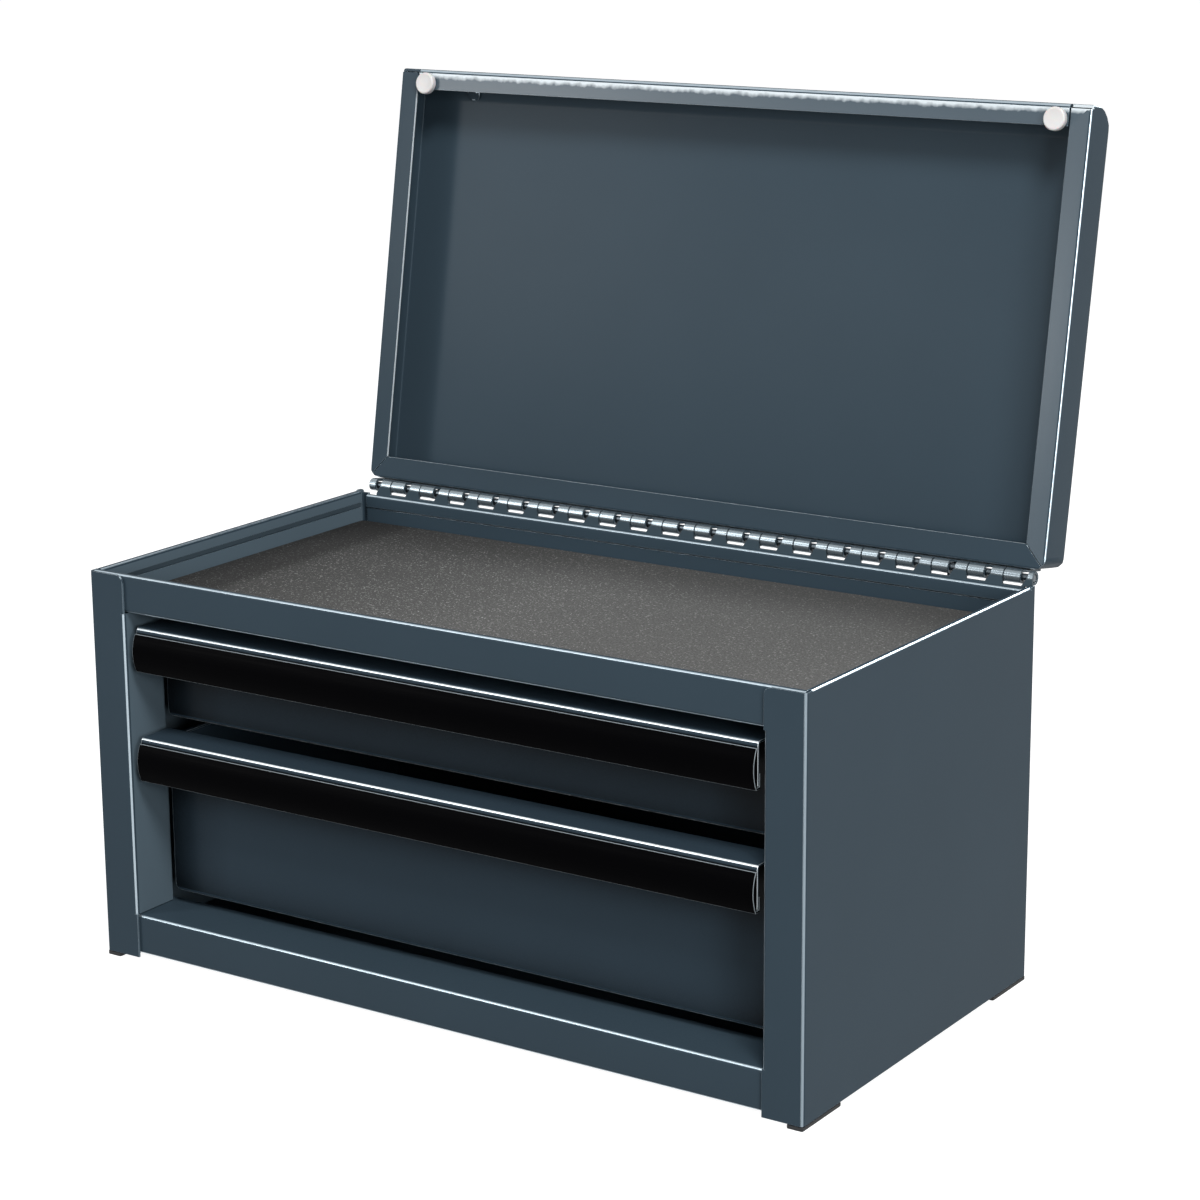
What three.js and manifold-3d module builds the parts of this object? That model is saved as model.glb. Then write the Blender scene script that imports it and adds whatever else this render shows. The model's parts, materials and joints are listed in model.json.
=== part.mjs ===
// Desk-top tool chest folded from thin sheet steel: a shallow open tray under a lift-up lid,
// and two drawers below it. The lid hangs on one continuous hinge along the back.
// Millimetres, +Z up. The front faces -Y, and the lid stands open, leaning a little back.
// X is centred, Y is centred on the chest with its lid open, and the feet stand on Z = 0.

import * as THREE from 'three';
import { mergeVertices } from 'three/addons/utils/BufferGeometryUtils.js';
import Module from 'manifold-3d';

const wasm = await Module();
wasm.setup();

// Overall sizes of the case, without its feet
const case_width = 283;
const case_depth = 152;
const case_height = 138;

// Sheet metal
const sheet = 0.8;
const bend_radius = 0.6;
const tight_bend_radius = 0.2;
const hem_width = 2.4;
const side_hem_depth = 4.5;
const back_hem_depth = 4.8;
const flange_depth = 12;
const back_from_side = 4.3;

// Clearances
const seat_gap = 0.3;
const running_gap = 0.3;
const leg_tip_gap = 0.5;
const cut_overrun = 3;

// Front frame
const post_width = 14.7;
const jamb_depth = 19;
const rail_height = 13.5;
const sill_height = 15.5;
const sill_depth = 22.4;
const sill_lip_depth = 5;
const post_corner_radius = 2.5;
const rim_end_radius = 1.5;
const back_rim_drop = 1.3;

// Tray
const tray_flange_height = 7;
const tray_corner_gap = 1.5;
const liner_thickness = 1;
const liner_gap = 0.2;
const liner_side_gap = 0.5;
const liner_corner_radius = 2;

// Feet
const foot_height = 1.3;
const foot_width = 5.8;
const foot_length = 24;
const foot_inset = 0.1;
const foot_corner_radius = 0.6;

// Drawer fronts, with their ledge, lip and clip-on pull strip
const ledge_below_rail = 5;
const upper_panel_height = 35.1;
const gap_between_drawers = 4.1;
const panel_above_sill = 5.1;
const drawer_side_gap = 3.3;
const lip_setback = 2.5;
const panel_setback = 17;
const lip_height = 14.2;
const panel_corner_radius = 3;
const panel_foot_depth = 10;
const strip_below_ledge = 2;
const strip_height = 13.4;
const strip_edge = 0.5;
const strip_bulge = 1.7;
const strip_wall = 0.6;
const strip_hook_height = 4;

// Drawer boxes
const box_below_ledge = 2.4;
const box_corner_radius = 2.5;
const box_rear_gap = 6.4;
const rim_roll = 1.6;

// Drawer slides: a channel on the case, and an angle on the drawer that runs in it
const runner_below_ledge = 20;
const channel_height = 3.8;
const channel_tab_lap = 10;
const channel_rear_gap = 5.7;
const runner_height = 9;
const runner_front_gap = 1.6;
const stop_tab_length = 3;
const stop_tab_from_rear = 18;
const upright_flange = 8;
const upright_face = 12;
const upright_from_back = 21;

// Lid
const lid_open_angle = 99.9;
const lid_depth = 154.5;
const lid_wall_height = 15.4;
const lid_lip_above_axis = 3.1;
const lid_side_overhang = 0.4;
const lid_front_radius = 11;
const lid_edge_radius = 1.4;
const lid_fold_radius = 1;
const lid_nose_radius = 2;
const lid_rear_corner_radius = 4.5;
const side_lip_width = 7.6;
const front_lip_width = 7.5;
const rear_lip_width = 8.3;
const seam_width = 0.7;
const mitre_width = 0.35;
const corner_relief_depth = 1.2;
const side_lip_end_gap = 0.7;

// Lid bumpers and the rivet inside the lid
const bumper_radius = 4;
const bumper_height = 2.2;
const bumper_base_height = 0.6;
const bumper_from_side = 12.5;
const bumper_from_front = 5.4;
const rivet_radius = 2.8;
const rivet_top_radius = 1.9;
const rivet_height = 1;
const rivet_edge_height = 0.35;
const rivet_from_side = 24.5;
const rivet_from_front = 7.2;

// Continuous hinge
const curl_outer_radius = 2.2;
const pin_radius = 1.25;
const pin_clearance = 0.15;
const curl_wrap_angle = 290;
const knuckle_pitch = 13.52;
const lid_knuckle_length = 6.1;
const case_knuckle_length = 4.5;
const end_knuckle_length = 2;
const knuckle_gap = 0.3;
const axis_above_rim = 1.75;
const hinge_from_left = 3.9;
const hinge_from_right = 1.1;
const leaf_height = 15.5;
const lid_leaf_height = 13;
const lid_notch_depth = 2.5;
const case_notch_depth = 2.9;
const tongue_above_axis = 0.6;

// Lid stops behind the case
const stop_width = 5.4;
const stop_sheet = 1;
const stop_reach = 9;
const stop_drop = 6.3;
const stop_leg_height = 10;
const stop_past_knuckle = 0.6;
const right_stop_knuckle_count = 3;
const left_stop_knuckle_count = 3;

// Facets
const bend_steps = 3;
const nose_steps = 8;
const round_steps = 20;
const curl_steps = 14;
const dome_steps = 5;

// Places worked out from the sizes above
const half_width = case_width / 2;
const inner_x = half_width - sheet;
const panel_x = inner_x - seat_gap;
const jamb_x = half_width - post_width;
const back_outer_y = case_depth - sheet - seat_gap;
const back_inner_y = back_outer_y - sheet;
const rail_y = sheet + seat_gap;
const tray_z = case_height - rail_height;
const bottom_z = sheet + seat_gap;
const case_floor_z = bottom_z + sheet;
const back_rim_z = case_height - back_rim_drop;
const back_half = half_width - back_from_side;
const tray_rim_z = tray_z + tray_flange_height;
const tray_inner_x = panel_x - sheet;
const tray_inner_y = back_inner_y - seat_gap - sheet;
const liner_z = tray_z + sheet + liner_gap;
const side_hem_front = rail_y + hem_width + seat_gap;
const side_hem_back = back_outer_y - hem_width - seat_gap;

const hinge_y = case_depth - sheet + curl_outer_radius;
const hinge_z = case_height + axis_above_rim;
const curl_inner_radius = pin_radius + pin_clearance;
const leaf_sheet = curl_outer_radius - curl_inner_radius;
const hinge_left = -half_width + hinge_from_left;
const hinge_right = half_width - hinge_from_right;
const leaf_end = -hinge_left;
const leaf_bottom_z = back_rim_z - leaf_height;
const knuckle_slack = knuckle_pitch - lid_knuckle_length - case_knuckle_length - knuckle_gap;

const front_half = jamb_x - drawer_side_gap;
const upper_ledge_z = tray_z - ledge_below_rail;
const upper_panel_z = upper_ledge_z - upper_panel_height;
const lower_ledge_z = upper_panel_z - gap_between_drawers;
const lower_panel_z = sill_height + panel_above_sill;
const panel_back_y = panel_setback + sheet;
const box_front_y = panel_back_y + seat_gap;
const box_rear_y = back_inner_y - box_rear_gap;

const jamb_hidden_x = jamb_x + sheet;
const channel_inner_x = jamb_hidden_x + seat_gap;
const channel_outer_x = channel_inner_x + sheet;
const channel_tip_x = front_half + leg_tip_gap;
const channel_front_y = jamb_depth + seat_gap;
const channel_rear_y = back_inner_y - channel_rear_gap;
const runner_rear_y = channel_rear_y - sheet - seat_gap;
const box_x = front_half - sheet - seat_gap;
const stop_tab_front_y = runner_rear_y - stop_tab_from_rear - stop_tab_length;
const upright_x = channel_outer_x + seat_gap;
const upright_y = back_inner_y - upright_from_back;

const lid_half = half_width + lid_side_overhang;
const lid_rear_u = curl_outer_radius + seat_gap;
const lid_front_u = lid_rear_u + lid_depth;
const lid_lip_v = lid_lip_above_axis;
const lid_top_v = lid_lip_v + lid_wall_height;
const mouth_half = lid_half - side_lip_width;
const mouth_rear_u = lid_rear_u + rear_lip_width;
const mouth_front_u = lid_front_u - front_lip_width;

const open_turn = THREE.MathUtils.degToRad(lid_open_angle);
const open_sin = Math.sin(open_turn);
const open_cos = Math.cos(open_turn);
const nose_centre_u = lid_front_u - lid_front_radius;
const nose_centre_v = lid_top_v - lid_front_radius;
const rest_back_y = hinge_y - nose_centre_u * open_cos + nose_centre_v * open_sin + lid_front_radius;
const base_z = foot_height + seat_gap;

// Materials
const slate_paint = new THREE.MeshStandardMaterial({ color: '#3c4a53', roughness: 0.38, metalness: 0.15 });
const slate_drawer = new THREE.MeshStandardMaterial({ color: '#33404a', roughness: 0.4, metalness: 0.15 });
const hinge_paint = new THREE.MeshStandardMaterial({ color: '#55616a', roughness: 0.25, metalness: 0.5 });
const coated_wire = new THREE.MeshStandardMaterial({ color: '#2b343b', roughness: 0.3, metalness: 0.5 });
const zinc_steel = new THREE.MeshStandardMaterial({ color: '#9da3a6', roughness: 0.4, metalness: 0.85 });
const gloss_black = new THREE.MeshStandardMaterial({ color: '#08090a', roughness: 0.15, metalness: 0 });
const foot_rubber = new THREE.MeshStandardMaterial({ color: '#17191b', roughness: 0.85, metalness: 0 });
const bumper_rubber = new THREE.MeshStandardMaterial({ color: '#dedcdb', roughness: 0.35, metalness: 0 });
const grey_liner = new THREE.MeshStandardMaterial({ color: '#5f5f5e', roughness: 0.95, metalness: 0 });

// Outlines: a corner is [a, b] or [a, b, radius], and a radius becomes an arc of short chords

function rounded(corners, steps = bend_steps) {
  const points = [];
  corners.forEach(([a, b, radius = 0], i) => {
    const corner = new THREE.Vector2(a, b);
    if (radius === 0) {
      points.push(corner);
      return;
    }
    const before = corners[(i + corners.length - 1) % corners.length];
    const after = corners[(i + 1) % corners.length];
    const back = new THREE.Vector2(before[0], before[1]).sub(corner).normalize();
    const ahead = new THREE.Vector2(after[0], after[1]).sub(corner).normalize();
    const half_angle = Math.acos(THREE.MathUtils.clamp(back.dot(ahead), -1, 1)) / 2;
    const bisector = back.clone().add(ahead).normalize();
    const centre = corner.clone().addScaledVector(bisector, radius / Math.sin(half_angle));
    const start = corner.clone().addScaledVector(back, radius / Math.tan(half_angle)).sub(centre);
    const turn = Math.PI - 2 * half_angle;
    const sense = back.cross(ahead) > 0 ? -1 : 1;
    for (let step = 0; step <= steps; step++) {
      const arm = start.clone().rotateAround(new THREE.Vector2(), sense * turn * step / steps);
      points.push(centre.clone().add(arm));
    }
  });
  return points;
}

// Outline of a folded sheet. The path runs along one face, and the metal lies on its left
// (side 1) or right (side -1). A point's third number is the inside radius of its bend.
function folded(path, side, thickness = sheet) {
  const count = path.length;
  const turns = path.map((point, i) => {
    const here = new THREE.Vector2(point[0], point[1]);
    const ahead = new THREE.Vector2();
    const behind = new THREE.Vector2();
    if (i < count - 1) ahead.set(path[i + 1][0], path[i + 1][1]).sub(here).normalize();
    if (i > 0) behind.copy(here).sub(new THREE.Vector2(path[i - 1][0], path[i - 1][1])).normalize();
    if (i === 0) behind.copy(ahead);
    if (i === count - 1) ahead.copy(behind);
    return { here, ahead, behind, radius: point[2] ?? bend_radius };
  });
  const face = [];
  const back = [];
  turns.forEach(({ here, ahead, behind, radius }, i) => {
    const end = i === 0 || i === count - 1;
    const inward = behind.cross(ahead) * side > 0;
    const face_radius = end ? 0 : radius + (inward ? thickness : 0);
    const back_radius = end ? 0 : radius + (inward ? 0 : thickness);
    const normal_a = new THREE.Vector2(-behind.y, behind.x);
    const normal_b = new THREE.Vector2(-ahead.y, ahead.x);
    const shift = side * thickness / (1 + normal_a.dot(normal_b));
    const offset = here.clone().addScaledVector(normal_a, shift).addScaledVector(normal_b, shift);
    face.push([here.x, here.y, face_radius]);
    back.push([offset.x, offset.y, back_radius]);
  });
  return rounded([...face, ...back.reverse()]);
}

function rectangle(a_low, a_high, b_low, b_high, radius = 0) {
  return [[a_low, b_low, radius], [a_high, b_low, radius], [a_high, b_high, radius], [a_low, b_high, radius]];
}

// Solids

function solid(geometry) {
  geometry.deleteAttribute('normal');
  geometry.deleteAttribute('uv');
  const merged = mergeVertices(geometry);
  const vertProperties = new Float32Array(merged.attributes.position.array);
  const triVerts = new Uint32Array(merged.index.array);
  return new wasm.Manifold(new wasm.Mesh({ numProp: 3, vertProperties, triVerts }));
}

// An outline pushed along an axis: (y, z) along x, (x, z) along y, or (x, y) along z
function prism(outline, axis, from, to) {
  const shape = new THREE.Shape(outline);
  const geometry = new THREE.ExtrudeGeometry(shape, { depth: to - from, bevelEnabled: false });
  const x = new THREE.Vector3(1, 0, 0);
  const y = new THREE.Vector3(0, 1, 0);
  const z = new THREE.Vector3(0, 0, 1);
  const placed = new THREE.Matrix4();
  if (axis === 'x') placed.makeBasis(y, z, x).setPosition(from, 0, 0);
  if (axis === 'y') placed.makeBasis(x, z, y.clone().negate()).setPosition(0, to, 0);
  if (axis === 'z') placed.setPosition(0, 0, from);
  return solid(geometry.applyMatrix4(placed));
}

function block(x_low, x_high, y_low, y_high, z_low, z_high) {
  return prism(rounded(rectangle(x_low, x_high, y_low, y_high)), 'z', z_low, z_high);
}

function mirrored(half) {
  const { vertProperties, triVerts } = half.getMesh();
  const flipped = Float32Array.from(vertProperties, (value, i) => (i % 3 === 0 ? -value : value));
  const turned = Uint32Array.from(triVerts, (_, i) => triVerts[i - i % 3 + 2 - i % 3]);
  return new wasm.Manifold(new wasm.Mesh({ numProp: 3, vertProperties: flipped, triVerts: turned }));
}

function add_mesh(parent, name, shape, material) {
  const { vertProperties, triVerts } = shape.getMesh();
  const geometry = new THREE.BufferGeometry();
  geometry.setAttribute('position', new THREE.BufferAttribute(vertProperties, 3));
  geometry.setIndex(new THREE.BufferAttribute(triVerts, 1));
  geometry.computeVertexNormals();
  const mesh = new THREE.Mesh(geometry, material);
  mesh.name = name;
  parent.add(mesh);
}

function add_pair(parent, name, left_shape, material) {
  add_mesh(parent, `${name}_left`, left_shape, material);
  add_mesh(parent, `${name}_right`, mirrored(left_shape), material);
}

// Left side of the case: outer wall, front post with its jamb, rear flange, rolled rim, bottom flange
function side_panel() {
  const flange_x = half_width - flange_depth;
  const wall_plan = folded(
    [[-flange_x, 0], [-half_width, 0], [-half_width, case_depth], [-flange_x, case_depth]], -1);
  const above_hem = block(
    -half_width - cut_overrun, -flange_x + cut_overrun, side_hem_front, side_hem_back,
    case_height - hem_width / 2, case_height + cut_overrun);
  const above_post = block(
    -half_width - cut_overrun, -flange_x + cut_overrun, -cut_overrun, side_hem_front,
    case_height - seat_gap, case_height + cut_overrun);
  const wall = prism(wall_plan, 'z', 0, case_height).subtract(above_hem).subtract(above_post);

  const jamb_low = sill_height + seat_gap;
  const jamb_high = tray_z - seat_gap;
  const bend_x = jamb_x + sheet + 2 * bend_radius;
  const post_face = prism(rounded([
    [-half_width + sheet, 0],
    [-jamb_x, 0],
    [-jamb_x, jamb_low],
    [-bend_x, jamb_low],
    [-bend_x, jamb_high],
    [-jamb_x, jamb_high],
    [-jamb_x, case_height - seat_gap, post_corner_radius],
    [-half_width + sheet, case_height - seat_gap]]), 'y', 0, sheet);
  const jamb_plan = folded([[-jamb_x, jamb_depth], [-jamb_x, 0], [-flange_x, 0]], -1);
  const jamb = prism(jamb_plan, 'z', jamb_low, jamb_high);

  const rim_x = half_width - hem_width;
  const rim_bottom = case_height - side_hem_depth;
  const wall_section = folded([
    [-flange_x, 0],
    [-half_width, 0],
    [-half_width, case_height, hem_width / 2 - sheet],
    [-rim_x, case_height, hem_width / 2 - sheet],
    [-rim_x, rim_bottom]], -1);
  const rolled = prism(wall_section, 'y', side_hem_front, side_hem_back);

  const rim_relief = block(
    -inner_x, -flange_x + cut_overrun, side_hem_back, case_depth + cut_overrun,
    back_rim_z, case_height + cut_overrun);
  const leaf_relief = block(
    hinge_left - seat_gap, -flange_x + cut_overrun, back_outer_y, case_depth + cut_overrun,
    leaf_bottom_z - seat_gap, case_height);
  const trim = prism(rounded([
    [-cut_overrun, -cut_overrun],
    [case_depth, -cut_overrun],
    [case_depth, case_height, rim_end_radius],
    [-cut_overrun, case_height]]), 'x', -half_width - cut_overrun, -jamb_x + cut_overrun);
  return wall.add(post_face).add(jamb).add(rolled).subtract(rim_relief).subtract(leaf_relief).intersect(trim);
}

// Bottom of the case and the front sill, one sheet
function bottom_panel() {
  const sill_back = rail_y + sill_depth;
  const section = folded([
    [back_outer_y, bottom_z],
    [rail_y, bottom_z],
    [rail_y, sill_height],
    [sill_back, sill_height],
    [sill_back, sill_height - sill_lip_depth]], -1);
  return prism(section, 'x', -panel_x, panel_x);
}

// Back of the case, with its rolled rim and a foot flange on the bottom sheet
function back_panel() {
  const foot_z = case_floor_z + seat_gap;
  const section = folded([
    [back_outer_y - flange_depth, foot_z],
    [back_outer_y, foot_z],
    [back_outer_y, back_rim_z, hem_width / 2 - sheet],
    [back_outer_y - hem_width, back_rim_z, hem_width / 2 - sheet],
    [back_outer_y - hem_width, back_rim_z - back_hem_depth]], 1);
  return prism(section, 'x', -back_half, back_half);
}

// Front rail and tray, one sheet: flanges turned up at the back and the sides end below the rolled rims
function tray_panel() {
  const rear_y = back_inner_y - seat_gap;
  const section = folded([
    [rail_y + hem_width, case_height - side_hem_depth],
    [rail_y + hem_width, case_height, hem_width / 2 - sheet],
    [rail_y, case_height, hem_width / 2 - sheet],
    [rail_y, tray_z],
    [rear_y, tray_z],
    [rear_y, tray_rim_z]], 1);
  const side_section = folded([
    [-panel_x, tray_rim_z],
    [-panel_x, tray_z],
    [panel_x, tray_z],
    [panel_x, tray_rim_z]], 1);
  const front = block(-panel_x, panel_x, 0, side_hem_front, 0, case_height + cut_overrun);
  const rail = prism(section, 'x', -panel_x, panel_x).intersect(front);
  return prism(section, 'x', -back_half, back_half)
    .add(rail)
    .add(prism(side_section, 'y', side_hem_front, rear_y - tray_corner_gap));
}

function liner(x_half, y_low, y_high, z_low) {
  const outline = rounded(rectangle(-x_half, x_half, y_low, y_high, liner_corner_radius));
  return prism(outline, 'z', z_low, z_low + liner_thickness);
}

function foot(y_low) {
  const x_low = -half_width + foot_inset;
  const outline = rounded(
    rectangle(x_low, x_low + foot_width, y_low, y_low + foot_length, foot_corner_radius));
  return prism(outline, 'z', -base_z, -base_z + foot_height);
}

// Hat-shaped post near the back that carries the rear ends of the left channels
function rear_upright() {
  const wall_x = panel_x - sheet;
  const plan = folded([
    [-wall_x, upright_y - upright_flange],
    [-wall_x, upright_y],
    [-upright_x, upright_y],
    [-upright_x, upright_y + upright_face],
    [-wall_x, upright_y + upright_face],
    [-wall_x, upright_y + upright_face + upright_flange]], 1);
  return prism(plan, 'z', case_floor_z + sheet + 2 * seat_gap, tray_z - seat_gap);
}

// Channel on the left of the case, closed at its rear end, with a tab behind the jamb
function slide_channel(ledge_z) {
  const seat_z = ledge_z - runner_below_ledge - running_gap;
  const low = seat_z - sheet;
  const section = folded([
    [-channel_tip_x, low],
    [-channel_outer_x, low],
    [-channel_outer_x, low + channel_height],
    [-channel_tip_x, low + channel_height]], -1);
  const web_low = low + sheet + bend_radius;
  const web_high = low + channel_height - sheet - bend_radius;
  const tab = block(
    -channel_outer_x, -channel_inner_x, jamb_depth - channel_tab_lap, channel_front_y + sheet,
    web_low, web_high);
  const end_wall = block(
    -channel_outer_x + sheet / 2, -channel_tip_x, channel_rear_y - sheet, channel_rear_y,
    low + sheet / 2, low + channel_height - sheet / 2);
  return prism(section, 'y', channel_front_y, channel_rear_y).add(tab).add(end_wall);
}

// Angle on the left of a drawer. Its rear tab meets the end of the jamb when the drawer is out
function slide_runner(ledge_z) {
  const low = ledge_z - runner_below_ledge;
  const wall_x = front_half - sheet;
  const tip_x = jamb_x - running_gap;
  const section = folded([[-tip_x, low], [-wall_x, low], [-wall_x, low + runner_height]], 1);
  const tab = block(
    -channel_inner_x + seat_gap, -tip_x + sheet, stop_tab_front_y, stop_tab_front_y + stop_tab_length,
    low, low + sheet);
  return prism(section, 'y', box_front_y + runner_front_gap, runner_rear_y).add(tab);
}

// Drawer front: lip, ledge, panel and foot flange, one sheet
function drawer_front(ledge_z, panel_z) {
  const section = folded([
    [lip_setback, ledge_z - lip_height],
    [lip_setback, ledge_z],
    [panel_back_y, ledge_z],
    [panel_back_y, panel_z + sheet],
    [panel_back_y + panel_foot_depth, panel_z + sheet]], -1);
  const outline = rounded([
    [-front_half, panel_z, panel_corner_radius],
    [front_half, panel_z, panel_corner_radius],
    [front_half, ledge_z],
    [-front_half, ledge_z]]);
  return prism(section, 'x', -front_half, front_half).intersect(prism(outline, 'y', 0, case_depth));
}

// Pull strip: a bowed front with a hook that clips round the lower edge of the lip
function pull_strip(ledge_z) {
  const top = ledge_z - strip_below_ledge;
  const low = top - strip_height;
  const back_y = lip_setback - seat_gap;
  const hook_y = lip_setback + sheet + seat_gap;
  const edge_y = back_y - strip_edge;
  const middle = (top + low) / 2;
  const half = strip_height / 2;
  const bow_radius = (half * half + strip_bulge * strip_bulge) / (2 * strip_bulge);
  const bow_centre = edge_y - strip_bulge + bow_radius;
  const bow_angle = Math.asin(half / bow_radius);
  const outline = [];
  for (let step = 0; step <= nose_steps; step++) {
    const angle = bow_angle * (2 * step / nose_steps - 1);
    const front_y = bow_centre - bow_radius * Math.cos(angle);
    outline.push(new THREE.Vector2(front_y, middle + bow_radius * Math.sin(angle)));
  }
  const inside_low = ledge_z - lip_height - seat_gap;
  outline.push(
    new THREE.Vector2(back_y, top),
    new THREE.Vector2(back_y, inside_low),
    new THREE.Vector2(hook_y, inside_low),
    new THREE.Vector2(hook_y, inside_low + strip_hook_height),
    new THREE.Vector2(hook_y + strip_wall, inside_low + strip_hook_height),
    new THREE.Vector2(hook_y + strip_wall, low));
  return prism(outline, 'x', -front_half, front_half);
}

// Drawer box: an open tray whose rim is rolled inwards along the sides and the back
function drawer_box(ledge_z, panel_z) {
  const low = panel_z + sheet + seat_gap;
  const high = ledge_z - box_below_ledge;
  const walls = (inset) => rounded(rectangle(
    -box_x + inset, box_x - inset, box_front_y + inset, box_rear_y - inset, box_corner_radius - inset));
  const hollow = prism(walls(sheet), 'z', low + sheet, high - sheet);
  const mouth = prism(walls(rim_roll), 'z', high - 2 * sheet, high + cut_overrun);
  return prism(walls(0), 'z', low, high).subtract(hollow).subtract(mouth);
}

function add_drawer(parent, name, ledge_z, panel_z) {
  const floor = panel_z + 2 * sheet + seat_gap + liner_gap;
  const inside = sheet + liner_side_gap;
  add_mesh(parent, `${name}_drawer_box`, drawer_box(ledge_z, panel_z), slate_drawer);
  add_mesh(parent, `${name}_drawer_front`, drawer_front(ledge_z, panel_z), slate_drawer);
  add_mesh(parent, `${name}_drawer_pull`, pull_strip(ledge_z), gloss_black);
  add_pair(parent, `${name}_drawer_runner`, slide_runner(ledge_z), zinc_steel);
  add_mesh(parent, `${name}_drawer_liner`,
    liner(box_x - inside, box_front_y + inside, box_rear_y - inside, floor), grey_liner);
}

// Continuous hinge. Knuckles of the lid and the case alternate along the pin, from the right

function knuckles() {
  const lid_spans = [];
  const case_spans = [[hinge_right - end_knuckle_length, hinge_right]];
  let right = hinge_right - end_knuckle_length - knuckle_slack;
  while (right > hinge_left + knuckle_gap) {
    lid_spans.push([Math.max(right - lid_knuckle_length, hinge_left), right]);
    const case_right = right - lid_knuckle_length - knuckle_gap;
    if (case_right - case_knuckle_length > hinge_left) {
      case_spans.push([case_right - case_knuckle_length, case_right]);
    }
    right -= knuckle_pitch;
  }
  return { lid_spans, case_spans };
}

// Flat leaf that runs up to the barrel on the side of the case wall and curls round the pin.
// Sense 1 curls over the top from a leaf that hangs down, and -1 is its reflection
function leaf_outline(height, sense) {
  const outline = [new THREE.Vector2(-curl_outer_radius, -sense * height)];
  const wrap = THREE.MathUtils.degToRad(curl_wrap_angle);
  for (let step = 0; step <= curl_steps; step++) {
    const angle = Math.PI - sense * wrap * step / curl_steps;
    outline.push(new THREE.Vector2(Math.cos(angle), Math.sin(angle)).multiplyScalar(curl_outer_radius));
  }
  for (let step = curl_steps; step >= 0; step--) {
    const angle = Math.PI - sense * wrap * step / curl_steps;
    outline.push(new THREE.Vector2(Math.cos(angle), Math.sin(angle)).multiplyScalar(curl_inner_radius));
  }
  outline.push(new THREE.Vector2(-curl_inner_radius, -sense * height));
  return outline;
}

function open_spans(spans) {
  const sorted = [...spans].sort((one, other) => one[0] - other[0]);
  const edges = [hinge_left - cut_overrun, ...sorted.flat(), hinge_right + cut_overrun];
  const gaps = [];
  for (let i = 0; i < edges.length; i += 2) {
    if (edges[i + 1] - edges[i] > knuckle_gap / 2) gaps.push([edges[i], edges[i + 1]]);
  }
  return gaps;
}

// Both leaves are drawn about the pin's own axis. The case leaf starts at its first knuckle, and
// its right end is cut away below the rim, to clear the side panel's flange. A slanted tongue
// rises from each slot, below a lid knuckle, to the next knuckle of the case
function case_leaf(lid_spans, case_spans) {
  const reach = curl_outer_radius + cut_overrun;
  const ear_z = back_rim_z + seat_gap - hinge_z;
  const low_z = leaf_bottom_z - hinge_z;
  const first = Math.min(...case_spans.flat());
  const leaf_start = Math.max(first - knuckle_slack + knuckle_gap, hinge_left);
  let leaf = prism(leaf_outline(-low_z, 1), 'x', leaf_start, hinge_right)
    .subtract(block(leaf_end, hinge_right + cut_overrun, -reach, reach, low_z - cut_overrun, ear_z));
  for (const [low, high] of lid_spans) {
    const next = high + knuckle_slack;
    const slot = prism(rounded([
      [low - knuckle_gap, -case_notch_depth],
      [high + knuckle_gap, -case_notch_depth],
      [next, tongue_above_axis],
      [next, reach],
      [low - knuckle_gap, reach]]), 'y', -reach, reach);
    leaf = leaf.subtract(slot).subtract(block(low - knuckle_gap, next, -pin_radius, reach, -reach, reach));
  }
  return leaf;
}

function lid_leaf(lid_spans) {
  const reach = curl_outer_radius + cut_overrun;
  let leaf = prism(leaf_outline(lid_leaf_height, -1), 'x', hinge_left, hinge_right);
  for (const [low, high] of open_spans(lid_spans)) {
    leaf = leaf.subtract(block(low, high, -reach, reach, -reach, lid_notch_depth));
  }
  return leaf;
}

function hinge_pin() {
  const length = hinge_right - hinge_left - 2 * knuckle_gap;
  const pin = new THREE.CylinderGeometry(pin_radius, pin_radius, length, curl_steps);
  return solid(pin.rotateZ(Math.PI / 2).translate((hinge_left + hinge_right) / 2, 0, 0));
}

// Lid stop behind the case: the open lid's hinge leaf comes to rest on its upturned end
function lid_stop(low) {
  const leg_y = case_depth + seat_gap;
  const tip_y = leg_y + stop_reach;
  const leaf_run = (tip_y - hinge_y + curl_inner_radius * open_cos) / open_sin;
  const leaf_z = hinge_z + curl_inner_radius * open_sin + leaf_run * open_cos;
  const shelf_z = hinge_z - stop_drop;
  const section = folded([
    [leg_y, shelf_z - stop_leg_height],
    [leg_y, shelf_z],
    [tip_y, shelf_z],
    [tip_y, leaf_z - seat_gap]], -1, stop_sheet);
  return prism(section, 'x', low, low + stop_width);
}

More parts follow.
